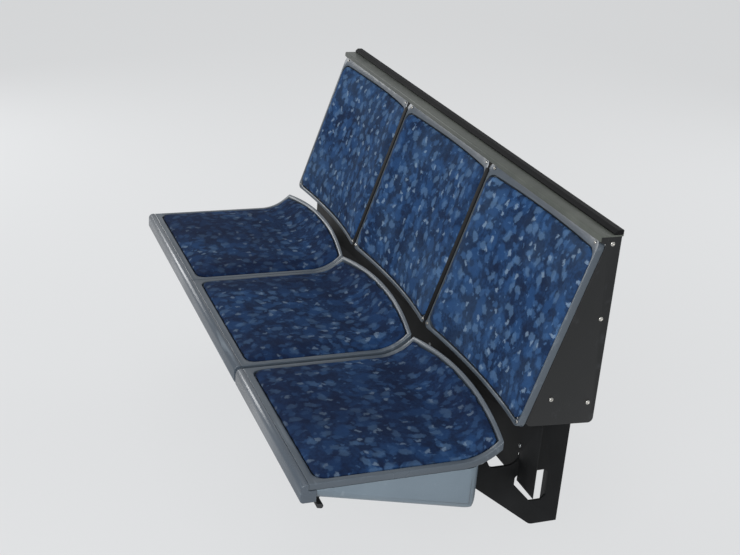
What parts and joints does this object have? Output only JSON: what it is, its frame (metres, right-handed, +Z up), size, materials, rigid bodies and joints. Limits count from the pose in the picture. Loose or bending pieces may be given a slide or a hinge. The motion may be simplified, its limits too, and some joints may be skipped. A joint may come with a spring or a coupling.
{
  "type": "fold-up bus bench seat, aisle-facing",
  "caption": "Padded bench for the side of a city bus, bolted to the wall and facing the aisle; its seats fold up against the backs in a double and a single unit.",
  "frame": {"origin": "on the side wall's face, at the centre of the rectangle of the four outermost wall bolts, 526 mm above the bus floor", "axes": "+X along the bench from the double unit to the single one, +Y into the wall, +Z up"},
  "size_m": [1.35, 0.568, 0.65],
  "materials": {
    "seat_fabric": "woven cloth with small pale blue flecks",
    "shell_plastic": "smooth, semi-gloss moulded plastic",
    "nose_plastic": "smooth, semi-gloss moulded plastic",
    "cover_plastic": "fine-grained, vacuum-formed sheet",
    "end_plastic": "fine-grained black sheet",
    "lever_plastic": "fine-grained black moulding",
    "ledge_paint": "satin powder coat",
    "frame_paint": "satin black powder coat",
    "shaft_steel": "ground bar, lightly oiled",
    "strip_rubber": "matt black extrusion",
    "stop_rubber": "matt black block"
  },
  "bodies": {
    "wall_frame": {"wall_bracket_far": "frame_paint", "wall_bracket_mid_far": "frame_paint", "wall_bracket_mid_near": "frame_paint", "wall_bracket_near": "frame_paint", "stop_pads": "stop_rubber", "back_tube_lower": "frame_paint", "back_rail_upper": "frame_paint", "closing_pan": "frame_paint", "back_shell_far": "shell_plastic", "back_pad_far": "seat_fabric", "back_shell_middle": "shell_plastic", "back_pad_middle": "seat_fabric", "back_shell_near": "shell_plastic", "back_pad_near": "seat_fabric", "end_cap_far": "end_plastic", "end_cap_near": "end_plastic", "top_ledge": "ledge_paint", "wall_strip": "strip_rubber", "pivot_shaft_double": "shaft_steel", "pivot_shaft_single": "shaft_steel"},
    "double_seat": {"seat_channels_double": "frame_paint", "front_tube_double": "frame_paint", "rear_tube_double": "frame_paint", "seat_shell_far": "shell_plastic", "seat_shell_middle": "shell_plastic", "seat_pad_far": "seat_fabric", "seat_pad_middle": "seat_fabric", "seat_nose_double": "nose_plastic", "under_cover_double": "cover_plastic", "release_lever_double": "lever_plastic"},
    "single_seat": {"seat_channels_single": "frame_paint", "front_tube_single": "frame_paint", "rear_tube_single": "frame_paint", "seat_shell_near": "shell_plastic", "seat_pad_near": "seat_fabric", "seat_nose_single": "nose_plastic", "under_cover_single": "cover_plastic", "release_lever_single": "lever_plastic"}
  },
  "joints": [
    {"name": "flip_double", "type": "hinge", "parent": "wall_frame", "child": "double_seat", "pos_m": [0, -0.198, -0.104], "axis": [-1, 0, 0], "range_deg": [0, 90]},
    {"name": "flip_single", "type": "hinge", "parent": "wall_frame", "child": "single_seat", "pos_m": [0.45, -0.198, -0.104], "axis": [-1, 0, 0], "range_deg": [0, 90]}
  ]
}
